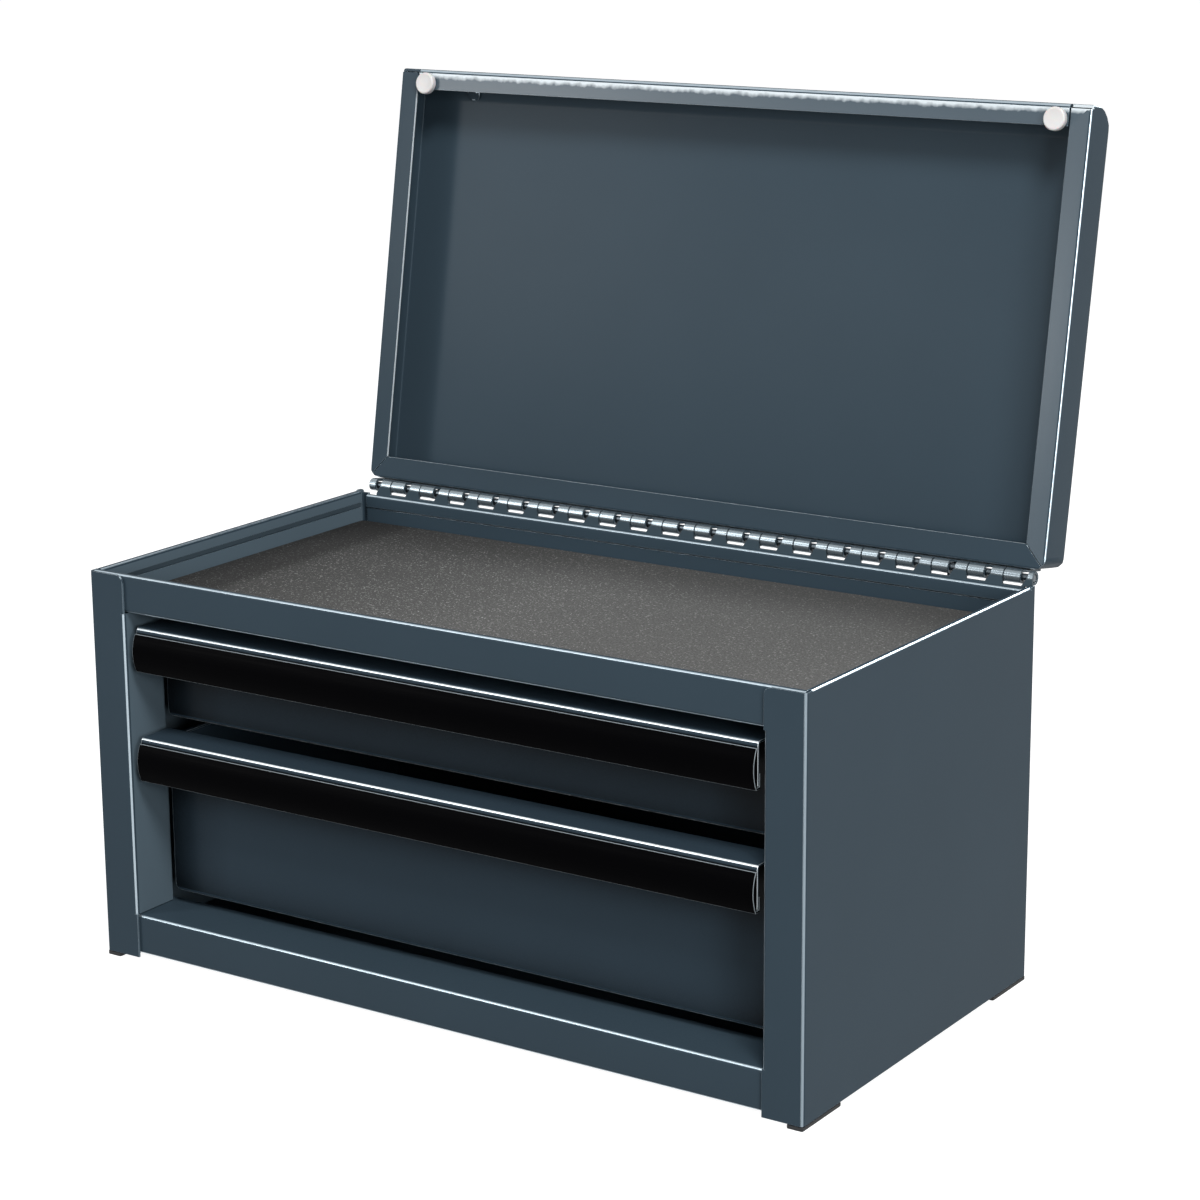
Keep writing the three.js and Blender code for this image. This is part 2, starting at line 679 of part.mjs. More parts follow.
// Lid, drawn closed about the pin's axis: a pan with rounded front, four walls and inturned lips
function lid_shell() {
  const pan = (inset) => {
    const shrink = (radius) => Math.max(radius - inset, tight_bend_radius);
    const half = lid_half - inset;
    const rear = -lid_rear_u - inset;
    const front = -lid_front_u + inset;
    const low = lid_lip_v + inset;
    const high = lid_top_v - inset;
    const along = rounded([
      [rear, low, shrink(lid_fold_radius)],
      [rear, high, shrink(lid_edge_radius)],
      [front, high, shrink(lid_front_radius)],
      [front, low, shrink(lid_nose_radius)]], 2 * bend_steps);
    const across = rounded([
      [-half, low, shrink(lid_fold_radius)],
      [half, low, shrink(lid_fold_radius)],
      [half, high, shrink(lid_edge_radius)],
      [-half, high, shrink(lid_edge_radius)]]);
    const plan = rounded([
      [-half, rear, shrink(lid_rear_corner_radius)],
      [half, rear, shrink(lid_rear_corner_radius)],
      [half, front, shrink(lid_fold_radius)],
      [-half, front, shrink(lid_fold_radius)]]);
    return prism(along, 'x', -half, half)
      .intersect(prism(across, 'y', front, rear))
      .intersect(prism(plan, 'z', low, high));
  };
  const under = lid_lip_v - cut_overrun;
  const through = lid_lip_v + 2 * sheet;
  const mouth = block(-mouth_half, mouth_half, -mouth_front_u, -mouth_rear_u, under, through);
  const mitre_end_x = lid_half - 2 * sheet;
  const mitre_end_y = -lid_rear_u - 2 * sheet;
  const mitre_line = new THREE.Vector2(mitre_end_x - mouth_half, mitre_end_y + mouth_rear_u);
  const aside = new THREE.Vector2(-mitre_line.y, mitre_line.x).setLength(mitre_width / 2);
  const past = mitre_line.clone().setLength(sheet);
  const mitre_top = lid_lip_v + sheet + tight_bend_radius;
  const mitre = prism([
    new THREE.Vector2(mouth_half, -mouth_rear_u).sub(past).add(aside),
    new THREE.Vector2(mouth_half, -mouth_rear_u).sub(past).sub(aside),
    new THREE.Vector2(mitre_end_x, mitre_end_y).sub(aside),
    new THREE.Vector2(mitre_end_x, mitre_end_y).add(aside)], 'z', under, mitre_top);
  const seam_top = lid_lip_v + lid_nose_radius + tight_bend_radius;
  const seam = block(
    mouth_half - seam_width, mouth_half, -lid_front_u - cut_overrun, -mouth_front_u + cut_overrun,
    under, seam_top);
  const relief = block(
    mouth_half - seam_width, lid_half + cut_overrun,
    -lid_front_u - cut_overrun, -lid_front_u + sheet + side_lip_end_gap,
    under, lid_lip_v + corner_relief_depth);
  const right_cuts = mitre.add(seam).add(relief);
  return pan(0).subtract(pan(sheet)).subtract(mouth).subtract(right_cuts).subtract(mirrored(right_cuts));
}

// Bumper: a soft dome stuck under the front lip, with its tip on the rim when the lid is shut
function lid_bumper() {
  const profile = [new THREE.Vector2(0, 0), new THREE.Vector2(bumper_radius, 0)];
  const dome = bumper_height - bumper_base_height;
  for (let step = 0; step <= dome_steps; step++) {
    const angle = step / dome_steps * Math.PI / 2;
    const out = step === dome_steps ? 0 : bumper_radius * Math.cos(angle);
    profile.push(new THREE.Vector2(out, -bumper_base_height - dome * Math.sin(angle)));
  }
  const shape = new THREE.LatheGeometry(profile.reverse(), round_steps);
  shape.rotateX(Math.PI / 2);
  shape.translate(-lid_half + bumper_from_side, -lid_front_u + bumper_from_front, lid_lip_v - seat_gap);
  return solid(shape);
}

// Rivet head inside the lid near the front left corner, square to the curve of the front edge
function lid_rivet() {
  const profile = [
    new THREE.Vector2(0, 0),
    new THREE.Vector2(rivet_radius, 0),
    new THREE.Vector2(rivet_radius, -rivet_edge_height),
    new THREE.Vector2(rivet_top_radius, -rivet_height),
    new THREE.Vector2(0, -rivet_height)];
  const inside_radius = lid_front_radius - sheet;
  const seat = Math.sqrt((inside_radius - seat_gap / 2) ** 2 - rivet_radius ** 2);
  const tilt = Math.asin((lid_front_radius - rivet_from_front) / inside_radius);
  const shape = new THREE.LatheGeometry(profile.reverse(), round_steps);
  shape.rotateX(Math.PI / 2).translate(0, 0, seat).rotateX(tilt);
  shape.translate(-lid_half + rivet_from_side, -nose_centre_u, nose_centre_v);
  return solid(shape);
}

// Assembly
const chest = new THREE.Group();
chest.position.set(0, -rest_back_y / 2, base_z);

const left_side = side_panel();
add_mesh(chest, 'case_side_left', left_side, slate_paint);
add_mesh(chest, 'case_side_right', mirrored(left_side), slate_paint);
add_mesh(chest, 'case_back', back_panel(), slate_paint);
add_mesh(chest, 'case_bottom', bottom_panel(), slate_paint);
add_mesh(chest, 'tray_panel', tray_panel(), slate_paint);
const tray_mat = liner(
  tray_inner_x - liner_side_gap, rail_y + sheet + liner_side_gap, tray_inner_y - liner_side_gap, liner_z);
add_mesh(chest, 'tray_liner', tray_mat, grey_liner);
add_pair(chest, 'foot_front', foot(foot_inset), foot_rubber);
add_pair(chest, 'foot_rear', foot(case_depth - foot_inset - foot_length), foot_rubber);
add_pair(chest, 'rear_upright', rear_upright(), slate_paint);
add_pair(chest, 'upper_channel', slide_channel(upper_ledge_z), zinc_steel);
add_pair(chest, 'lower_channel', slide_channel(lower_ledge_z), zinc_steel);

const { lid_spans, case_spans } = knuckles();
const barrel = new THREE.Group();
barrel.position.set(0, hinge_y, hinge_z);
add_mesh(barrel, 'hinge_leaf_case', case_leaf(lid_spans, case_spans), hinge_paint);
add_mesh(barrel, 'hinge_pin', hinge_pin(), coated_wire);
chest.add(barrel);

const left_knuckle = lid_spans[lid_spans.length - left_stop_knuckle_count];
const right_knuckle = lid_spans[right_stop_knuckle_count - 1];
add_mesh(chest, 'lid_stop_left', lid_stop(left_knuckle[0] + stop_past_knuckle), slate_paint);
add_mesh(chest, 'lid_stop_right', lid_stop(right_knuckle[0] + stop_past_knuckle), slate_paint);

add_drawer(chest, 'upper', upper_ledge_z, upper_panel_z);
add_drawer(chest, 'lower', lower_ledge_z, lower_panel_z);

const lid = new THREE.Group();
lid.position.set(0, hinge_y, hinge_z);
lid.rotation.x = -open_turn;
add_mesh(lid, 'lid_shell', lid_shell(), slate_paint);
add_mesh(lid, 'hinge_leaf_lid', lid_leaf(lid_spans), hinge_paint);
add_pair(lid, 'lid_bumper', lid_bumper(), bumper_rubber);
add_mesh(lid, 'lid_rivet', lid_rivet(), slate_paint);
chest.add(lid);

export default chest;
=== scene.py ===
"""Desk-top tool chest of folded sheet steel, dressed for rendering around its CAD frame.

Lengths are in metres in the frame of the CAD model. The front faces -Y and the lid stands open.
"""

import json
import math

import bmesh
import bpy
from bpy.props import FloatProperty, FloatVectorProperty, IntProperty, PointerProperty
from bpy.types import Operator, Panel, PropertyGroup
from mathutils import Matrix, Vector


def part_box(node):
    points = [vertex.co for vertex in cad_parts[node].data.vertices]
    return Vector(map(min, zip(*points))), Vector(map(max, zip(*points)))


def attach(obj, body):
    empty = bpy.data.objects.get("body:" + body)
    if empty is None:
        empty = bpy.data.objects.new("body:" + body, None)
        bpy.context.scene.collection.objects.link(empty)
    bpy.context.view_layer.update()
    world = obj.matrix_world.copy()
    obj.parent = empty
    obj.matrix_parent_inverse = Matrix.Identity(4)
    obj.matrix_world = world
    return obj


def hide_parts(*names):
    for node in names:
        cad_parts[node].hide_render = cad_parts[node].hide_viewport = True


bl_info = {
    "name": "Tool chest",
    "version": (1, 0, 0),
    "blender": (4, 5, 0),
    "location": "View3D > Sidebar > Tool chest",
    "description": "Builds the pieces, finishes and stage of a desk-top tool chest",
    "category": "Add Mesh",
}

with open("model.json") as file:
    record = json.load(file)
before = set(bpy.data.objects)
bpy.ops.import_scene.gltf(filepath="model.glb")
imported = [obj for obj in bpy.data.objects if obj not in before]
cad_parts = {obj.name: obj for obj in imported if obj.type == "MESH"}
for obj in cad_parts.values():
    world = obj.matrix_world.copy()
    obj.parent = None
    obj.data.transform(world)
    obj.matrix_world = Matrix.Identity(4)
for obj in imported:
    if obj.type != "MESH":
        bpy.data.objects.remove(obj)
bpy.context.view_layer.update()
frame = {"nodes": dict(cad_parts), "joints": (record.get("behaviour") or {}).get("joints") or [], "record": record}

MM = 0.001

# Places read from the frame. The open lid leans back, and lid_upright turns it to stand straight.
case_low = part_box("case_side_left")[0]
half_width = -case_low.x
hinge = Vector(frame["joints"][0]["pos_m"])
lid_lean = math.radians(9.9)
lid_upright = Matrix.Rotation(lid_lean, 3, "X")
lid_points = [vertex.co for vertex in frame["nodes"]["lid_shell"].data.vertices]
lid_top = max((lid_upright @ point).z for point in lid_points)

# A normal this much along an axis counts as lying on it, and one this little as square to it
ALONG = 0.99
ACROSS = 0.1


def linear(hex_colour):
    """Turns an sRGB colour written as #rrggbb into Blender's linear one."""
    channels = [int(hex_colour[i:i + 2], 16) / 255 for i in (1, 3, 5)]
    return [c / 12.92 if c <= 0.04045 else ((c + 0.055) / 1.055) ** 2.4 for c in channels]


def opaque(colour):
    """A colour socket's four numbers from a colour's three."""
    return (*colour, 1.0)


def length(name, description, default):
    """A length that a user may change."""
    return FloatProperty(
        name=name, description=description, default=default, min=0.0, unit="LENGTH")


def colour(name, description, hex_colour):
    """A colour that a user may change, given as the sRGB value it should look."""
    return FloatVectorProperty(
        name=name, description=description, subtype="COLOR", size=3, min=0.0, max=1.0,
        default=linear(hex_colour))


class ChestSizes(PropertyGroup):
    """Sizes of the dressed chest."""
    edge_round: length("Edge rounding", "Radius left on a cut edge by the coat of paint", 0.18 * MM)
    fold_angle: FloatProperty(
        name="Cut edge angle", description="Edges sharper than this are cut edges, and are rounded",
        default=math.radians(42.0), subtype="ANGLE")
    edge_steps: IntProperty(
        name="Edge steps", description="Faces across a rounded cut edge", default=2, min=1)
    knuckle_radius: length("Knuckle radius", "Outer radius of a bare hinge knuckle", 2.2 * MM)
    knuckle_swell: length("Knuckle coat", "What the coat adds to a knuckle's radius", 0.17 * MM)
    slot_depth: length(
        "Slot depth", "From the pin's middle to the foot of the slots in the case's leaf", 2.9 * MM)
    leaf_end: length(
        "Leaf end", "From the middle of the chest to the right end of the lid's leaf", 136.0 * MM)
    bend_line: length("Bend line", "Widest face that counts as the crest of a bend", 1.6 * MM)
    corner_line: length(
        "Corner line", "How far in from the sides a crest belongs to an upright corner", 3.0 * MM)
    side_lip: length("Side lips", "Width of the lid's side lips", 7.6 * MM)
    front_lip: length("Front lip", "Width of the lid's front lip", 7.5 * MM)
    rear_lip: length("Rear lip", "Width of the lid's rear lip", 8.3 * MM)
    # Depth of the ragged band of painted glare along the lid's front
    painted_glare_band: length("Worn band", "Depth of the band rubbed pale along the lid's front", 2.9 * MM)
    # Reach of the painted shade that darkens a drawer's panel near its corners
    painted_shade_reach: length("Wax reach", "How far from its corners wax darkens a drawer's panel", 30 * MM)
    bumper_radius: length("Bumper radius", "Radius of a bumper", 4.0 * MM)
    bumper_height: length("Bumper height", "Height of a bumper", 2.2 * MM)
    bumper_rim: length("Bumper rim", "Width of the round rim of a bumper", 0.45 * MM)


class ChestColours(PropertyGroup):
    """Colours of the finishes, as they look in plain light."""
    slate: colour("Slate paint", "Powder coat of the case and the lid", "#34424c")
    drawer_slate: colour("Drawer paint", "Powder coat of the drawers", "#2c3943")
    # Bends and corners: pale colours of the painted highlights on bend crests and cut edges
    bend: colour("Bends", "Powder coat where it is thin over a bend", "#a8b6bf")
    corner: colour("Corners", "Powder coat thin over the case's upright corners", "#84919a")
    # Drawer noses: near-white of the painted highlight along a drawer's bent nose
    nose: colour("Drawer noses", "Bent nose of a drawer, rubbed bright by hands", "#e2eaee")
    # Lips: paler slate of the painted sheen on the lid's turned lips
    lip: colour("Lips", "Powder coat of the lid's turned lips, rubbed by handling", "#43515b")
    # Lip edges: near-white of the painted highlight on the lips' cut edges, also used for the painted glare band
    # in front
    lip_edge: colour("Lip edges", "Coat rubbed thin on the edges of the lid's lips", "#cfd8dd")
    # Inner sides: lighter slate of the painted light on walls facing into the chest
    inner: colour("Inner sides", "Powder coat inside the sides, thin over pale steel", "#54636d")
    hinge_steel: colour("Hinge", "Thin coat on the hinge's leaves", "#3f4d56")
    curl: colour("Knuckles", "Steel of the hinge's knuckles, under a worn coat", "#87939a")
    wire: colour("Pin", "Thin dark coat on the wire of the hinge pin", "#39434a")
    zinc: colour("Zinc", "Zinc plate of the drawer slides", "#9da3a6")
    pull: colour("Pulls", "Black plastic of the drawer pulls", "#030304")
    # Pull edges: grey of the painted highlight on the pulls' rounded edges
    pull_edge: colour("Pull edges", "Edges of the pulls, polished by the die", "#747d82")
    foot: colour("Feet", "Black rubber of the feet", "#17191b")
    bumper: colour("Bumpers", "Milky rubber of the lid's bumpers", "#cecccb")
    foam: colour("Liner", "Grey foam of the liners", "#5b5b5a")
    fleck: colour("Liner flecks", "Pale flecks in the foam", "#cacac8")
    floor: colour("Floor", "Paper under the chest", "#ffffff")


# Node trees

def add_node(tree, kind, inputs=None, **settings):
    """Adds a node, sets what it is, and fills or links its inputs."""
    made = tree.nodes.new(kind)
    for name, value in settings.items():
        setattr(made, name, value)
    for name, value in (inputs or {}).items():
        if isinstance(value, bpy.types.NodeSocket):
            tree.links.new(value, made.inputs[name])
        else:
            made.inputs[name].default_value = value
    return made


def new_material(name):
    """An empty material, its node tree and its output."""
    material = bpy.data.materials.new(name)
    material.use_nodes = True
    tree = material.node_tree
    tree.nodes.clear()
    output = add_node(tree, "ShaderNodeOutputMaterial")
    return material, tree, output


def object_place(tree):
    """The piece's own coordinates, in metres."""
    return add_node(tree, "ShaderNodeTexCoord").outputs["Object"]


# The values that a noise texture mostly stays between, and the sockets of a Mix node for colours
NOISE_SPAN = {"From Min": 0.3, "From Max": 0.7}
MIX_A, MIX_B, MIX_RESULT = 6, 7, 2


def powder_coat(
        name, base, rough=0.45, sheen=0.07, waves=0.012 * MM, corners=0.0, glare_colour=None, band=0.0):
    """Polyester powder baked on steel: an even colour, a soft sheen and a faint orange peel.

    Waves is the depth of the peel. Corners is how far out of inside corners painted shade darkens the coat. The
    pale colour, when given, paints a ragged band of glare along the lid's front edge, and band is its depth.
    """
    peel_size, grain_size, cloud_size = 2.2 * MM, 0.5 * MM, 60 * MM
    material, tree, output = new_material(name)
    place = object_place(tree)
    peel = add_node(tree, "ShaderNodeTexNoise", {
        "Vector": place, "Scale": 1 / peel_size, "Detail": 1.5, "Roughness": 0.4})
    grain = add_node(tree, "ShaderNodeTexNoise", {
        "Vector": place, "Scale": 1 / grain_size, "Detail": 1.0})
    # A ragged pale band of painted glare along the lid's front edge
    if glare_colour:
        upright = add_node(tree, "ShaderNodeMapping", {
            "Vector": place, "Rotation": (lid_lean, 0.0, 0.0)})
        split = add_node(tree, "ShaderNodeSeparateXYZ", {"Vector": upright.outputs["Vector"]})
        ragged = add_node(tree, "ShaderNodeMath", {
            0: peel.outputs["Fac"], 1: 0.6 * band, 2: split.outputs["Z"]}, operation="MULTIPLY_ADD")
        rubbed = add_node(tree, "ShaderNodeMapRange", {
            "Value": ragged.outputs["Value"],
            "From Min": lid_top - 0.9 * band, "From Max": lid_top - 0.4 * band})
        base = add_node(tree, "ShaderNodeMix", {
            "Factor": rubbed.outputs["Result"], MIX_A: opaque(base), MIX_B: opaque(glare_colour)},
            data_type="RGBA").outputs[MIX_RESULT]
    cloud = add_node(tree, "ShaderNodeTexNoise", {
        "Vector": place, "Scale": 1 / cloud_size, "Detail": 3.0})
    tint = add_node(tree, "ShaderNodeMapRange", {
        "Value": cloud.outputs["Fac"], **NOISE_SPAN, "To Min": 0.97, "To Max": 1.03})
    shade = add_node(tree, "ShaderNodeVectorMath", {
        0: base, "Scale": tint.outputs["Result"]}, operation="SCALE")
    # Painted shade: ambient occlusion darkens the coat near inside corners
    if corners:
        open_air = add_node(tree, "ShaderNodeAmbientOcclusion", {"Distance": corners}, samples=8)
        corner_shade = add_node(tree, "ShaderNodeMapRange", {
            "Value": open_air.outputs["AO"], "From Min": 0.5, "From Max": 0.96,
            "To Min": 0.05, "To Max": 1.2})
        shade = add_node(tree, "ShaderNodeVectorMath", {
            0: shade.outputs["Vector"], "Scale": corner_shade.outputs["Result"]}, operation="SCALE")
    gloss = add_node(tree, "ShaderNodeMapRange", {
        "Value": grain.outputs["Fac"], **NOISE_SPAN,
        "To Min": rough - 0.04, "To Max": rough + 0.05})
    relief = add_node(tree, "ShaderNodeBump", {
        "Height": peel.outputs["Fac"], "Strength": 0.35, "Distance": waves})
    coat = add_node(tree, "ShaderNodeBsdfPrincipled", {
        "Base Color": shade.outputs["Vector"], "Roughness": gloss.outputs["Result"],
        "Normal": relief.outputs["Normal"], "Specular IOR Level": 0.03,
        "Coat Weight": sheen, "Coat Roughness": 0.2})
    tree.links.new(coat.outputs["BSDF"], output.inputs["Surface"])
    return material


def painted_highlight_coat(name, base):
    """Painted highlight on a bend or a cut edge: a pale, partly metallic coat that draws it as a fine pale line of
    light.
    """
    patch_size = 3 * MM
    material, tree, output = new_material(name)
    place = object_place(tree)
    patches = add_node(tree, "ShaderNodeTexNoise", {
        "Vector": place, "Scale": 1 / patch_size, "Detail": 3.0, "Roughness": 0.6})
    painted_shine = add_node(tree, "ShaderNodeMapRange", {
        "Value": patches.outputs["Fac"], "From Min": 0.35, "From Max": 0.65,
        "To Min": 0.7, "To Max": 0.95})
    coat = add_node(tree, "ShaderNodeBsdfPrincipled", {
        "Base Color": opaque(base), "Metallic": painted_shine.outputs["Result"], "Roughness": 0.3})
    tree.links.new(coat.outputs["BSDF"], output.inputs["Surface"])
    return material


def coated_hinge(name, base):
    """Thin slate coat over rolled steel strip, so the barrels shine like dark metal."""
    streak_width, squeeze_along = 0.6 * MM, (0.08, 1.0, 1.0)
    material, tree, output = new_material(name)
    place = object_place(tree)
    drawn = add_node(tree, "ShaderNodeMapping", {"Vector": place, "Scale": squeeze_along})
    streak = add_node(tree, "ShaderNodeTexNoise", {
        "Vector": drawn.outputs["Vector"], "Scale": 1 / streak_width, "Detail": 2.0})
    gloss = add_node(tree, "ShaderNodeMapRange", {
        "Value": streak.outputs["Fac"], **NOISE_SPAN, "To Min": 0.16, "To Max": 0.3})
    relief = add_node(tree, "ShaderNodeBump", {
        "Height": streak.outputs["Fac"], "Strength": 0.2, "Distance": 0.01 * MM})
    coat = add_node(tree, "ShaderNodeBsdfPrincipled", {
        "Base Color": opaque(base), "Metallic": 0.75, "Roughness": gloss.outputs["Result"],
        "Normal": relief.outputs["Normal"], "Coat Weight": 0.5, "Coat Roughness": 0.1})
    tree.links.new(coat.outputs["BSDF"], output.inputs["Surface"])
    return material


def plated_metal(name, base, rough):
    """Zinc-plated strip, with rolling lines from front to back and small changes in its gloss."""
    streak_width, squeeze_along = 0.4 * MM, (1.0, 0.05, 1.0)
    material, tree, output = new_material(name)
    place = object_place(tree)
    drawn = add_node(tree, "ShaderNodeMapping", {"Vector": place, "Scale": squeeze_along})
    streak = add_node(tree, "ShaderNodeTexNoise", {
        "Vector": drawn.outputs["Vector"], "Scale": 1 / streak_width, "Detail": 2.0})
    gloss = add_node(tree, "ShaderNodeMapRange", {
        "Value": streak.outputs["Fac"], **NOISE_SPAN,
        "To Min": rough - 0.08, "To Max": rough + 0.08})
    metal = add_node(tree, "ShaderNodeBsdfPrincipled", {
        "Base Color": opaque(base), "Metallic": 1.0, "Roughness": gloss.outputs["Result"]})
    tree.links.new(metal.outputs["BSDF"], output.inputs["Surface"])
    return material


def extruded_plastic(name, base):
    """Black plastic pushed through a die: a satin skin with shallow lines along its length."""
    line_width, squeeze_along = 0.9 * MM, (0.02, 1.0, 1.0)
    material, tree, output = new_material(name)
    place = object_place(tree)
    drawn = add_node(tree, "ShaderNodeMapping", {"Vector": place, "Scale": squeeze_along})
    lines = add_node(tree, "ShaderNodeTexNoise", {
        "Vector": drawn.outputs["Vector"], "Scale": 1 / line_width, "Detail": 2.0})
    gloss = add_node(tree, "ShaderNodeMapRange", {
        "Value": lines.outputs["Fac"], **NOISE_SPAN, "To Min": 0.3, "To Max": 0.42})
    relief = add_node(tree, "ShaderNodeBump", {
        "Height": lines.outputs["Fac"], "Strength": 0.15, "Distance": 0.01 * MM})
    plastic = add_node(tree, "ShaderNodeBsdfPrincipled", {
        "Base Color": opaque(base), "Roughness": gloss.outputs["Result"],
        "Normal": relief.outputs["Normal"], "Specular IOR Level": 0.02, "IOR": 1.3})
    tree.links.new(plastic.outputs["BSDF"], output.inputs["Surface"])
    return material


def moulded_skin(name, base, rough, glow=0.0):
    """Rubber or plastic as it leaves its mould, with a fine skin. Glow spreads light inside it."""
    skin_size = 0.6 * MM
    material, tree, output = new_material(name)
    place = object_place(tree)
    skin = add_node(tree, "ShaderNodeTexNoise", {
        "Vector": place, "Scale": 1 / skin_size, "Detail": 2.0})
    gloss = add_node(tree, "ShaderNodeMapRange", {
        "Value": skin.outputs["Fac"], **NOISE_SPAN,
        "To Min": rough - 0.06, "To Max": rough + 0.06})
    relief = add_node(tree, "ShaderNodeBump", {
        "Height": skin.outputs["Fac"], "Strength": 0.2, "Distance": 0.02 * MM})
    moulding = add_node(tree, "ShaderNodeBsdfPrincipled", {
        "Base Color": opaque(base), "Roughness": gloss.outputs["Result"],
        "Normal": relief.outputs["Normal"], "IOR": 1.5,
        "Subsurface Weight": glow, "Subsurface Scale": 1.5 * MM})
    tree.links.new(moulding.outputs["BSDF"], output.inputs["Surface"])
    return material


def flecked_foam_with_painted_shade(name, base, fleck):
    """Closed-cell foam mat: grey, pitted by its cells, with small pale flecks. Painted shade darkens it along the
    walls on the left and at the back, and a painted gradient runs from dark on the left to light further right.
    """
    cell_size, mottle_size, speck_size = 0.8 * MM, 0.7 * MM, 0.85 * MM
    # Painted shade: the axis, where the shade is darkest, where it ends, how bright both are, and how it fades
    shade_bands = (
        ("X", -121 * MM, -112 * MM, 0.5, 1.0, "SMOOTHSTEP"),
        ("X", -120 * MM, -15 * MM, 0.46, 1.14, "LINEAR"),
        ("Y", 46 * MM, 0.0, 0.5, 1.0, "SMOOTHSTEP"))
    material, tree, output = new_material(name)
    place = object_place(tree)
    cells = add_node(tree, "ShaderNodeTexVoronoi", {"Vector": place, "Scale": 1 / cell_size})
    mottle = add_node(tree, "ShaderNodeTexNoise", {
        "Vector": place, "Scale": 1 / mottle_size, "Detail": 3.0, "Roughness": 0.7})
    specks = add_node(tree, "ShaderNodeTexNoise", {
        "Vector": place, "Scale": 1 / speck_size, "Detail": 2.0, "Roughness": 0.8})
    dapple = add_node(tree, "ShaderNodeMapRange", {
        "Value": mottle.outputs["Fac"], **NOISE_SPAN, "To Min": 0.5, "To Max": 1.35})
    body = add_node(tree, "ShaderNodeVectorMath", {
        0: base, "Scale": dapple.outputs["Result"]}, operation="SCALE")
    split = add_node(tree, "ShaderNodeSeparateXYZ", {"Vector": place})
    pale = add_node(tree, "ShaderNodeMapRange", {
        "Value": specks.outputs["Fac"], "From Min": 0.6, "From Max": 0.66,
        "To Min": 0.0, "To Max": 0.8})
    brushed = add_node(tree, "ShaderNodeMapRange", {
        "Value": split.outputs["X"], "From Min": -110 * MM, "From Max": 40 * MM,
        "To Min": 1.1, "To Max": 0.4})
    flecks = add_node(tree, "ShaderNodeMath", {
        0: pale.outputs["Result"], 1: brushed.outputs["Result"]}, operation="MULTIPLY")
    mat = add_node(tree, "ShaderNodeMix", {
        "Factor": flecks.outputs["Value"], MIX_A: body.outputs["Vector"], MIX_B: opaque(fleck)},
        data_type="RGBA").outputs[MIX_RESULT]
    # Each band of painted shade scales the mat's colour along its axis
    for axis, thickest, end, dark, light, fading in shade_bands:
        shade_factor = add_node(tree, "ShaderNodeMapRange", {
            "Value": split.outputs[axis], "From Min": thickest, "From Max": end,
            "To Min": dark, "To Max": light}, interpolation_type=fading)
        mat = add_node(tree, "ShaderNodeVectorMath", {
            0: mat, "Scale": shade_factor.outputs["Result"]}, operation="SCALE").outputs["Vector"]
    relief = add_node(tree, "ShaderNodeBump", {
        "Height": cells.outputs["Distance"], "Strength": 0.5, "Distance": 0.15 * MM})
    foam = add_node(tree, "ShaderNodeBsdfPrincipled", {
        "Base Color": mat, "Roughness": 0.9, "Normal": relief.outputs["Normal"],
        "Specular IOR Level": 0.25})
    tree.links.new(foam.outputs["BSDF"], output.inputs["Surface"])
    return material


# What makes each finish, from the chest's colours and sizes
MAKERS = {
    # Even slate with a soft sheen
    "slate_paint": lambda c, s: powder_coat("slate_powder_coat", c.slate),
    "slate_drawer": lambda c, s: powder_coat("slate_powder_coat_drawer", c.drawer_slate),
    # Painted highlights: fine pale lines that draw every fold and cut edge
    "bend": lambda c, s: painted_highlight_coat("powder_coat_painted_highlight_on_bend", c.bend),
    "corner": lambda c, s: painted_highlight_coat("powder_coat_painted_highlight_on_corner", c.corner),
    # Painted highlight: a bright line under each pull, along the bends of the drawer's front
    "nose": lambda c, s: painted_highlight_coat("powder_coat_painted_highlight_on_nose", c.nose),
    # Painted sheen: a paler and glossier frame round the lid, with a ragged pale band of painted glare in front
    "lip": lambda c, s: powder_coat(
        "slate_powder_coat_painted_sheen", c.lip, rough=0.4, sheen=0.7, waves=0.2 * MM),
    "front_lip": lambda c, s: powder_coat(
        "slate_powder_coat_painted_glare_at_front", c.lip, rough=0.4, sheen=0.5, waves=0.2 * MM,
        glare_colour=c.lip_edge, band=s.painted_glare_band),
    # The lips' thickness, as a pale outline of the opening: a painted highlight
    "lip_edge": lambda c, s: powder_coat("powder_coat_painted_highlight_on_cut_edge", c.lip_edge),
    # Painted light: lighter walls round the tray and inside the posts
    "inner": lambda c, s: powder_coat("slate_powder_coat_painted_light_inside", c.inner),
    # Painted shade: panels that grow dark towards the ledge and the pull
    "panel": lambda c, s: powder_coat(
        "slate_powder_coat_painted_shade_in_corners", c.drawer_slate, corners=s.painted_shade_reach),
    # Smooth dark leaves, with knuckles and a pin that glint
    "hinge_paint": lambda c, s: powder_coat(
        "thin_coat_on_steel_strip", c.hinge_steel, rough=0.4, sheen=0.3),
    "curl": lambda c, s: coated_hinge("worn_coat_on_steel_knuckles", c.curl),
    "coated_wire": lambda c, s: coated_hinge("thin_coat_on_steel_wire", c.wire),
    # Satin grey, lined from front to back
    "zinc_steel": lambda c, s: plated_metal("zinc_plated_steel", c.zinc, rough=0.38),
    # Deep black bars with thin grey edges, which are a painted highlight
    "gloss_black": lambda c, s: extruded_plastic("black_extruded_plastic", c.pull),
    "pull_edge": lambda c, s: moulded_skin(
        "painted_highlight_on_black_plastic_edge", c.pull_edge, rough=0.3),
    # Matte black, and a soft milky white
    "foot_rubber": lambda c, s: moulded_skin("black_rubber", c.foot, rough=0.8),
    "bumper_rubber": lambda c, s: moulded_skin("milky_rubber", c.bumper, rough=0.35, glow=0.15),
    # Dull grey with pale specks, and painted shade along the walls on the left and at the back
    "grey_liner": lambda c, s: flecked_foam_with_painted_shade("flecked_foam_with_painted_shade", c.foam, c.fleck),
}
finishes = {}


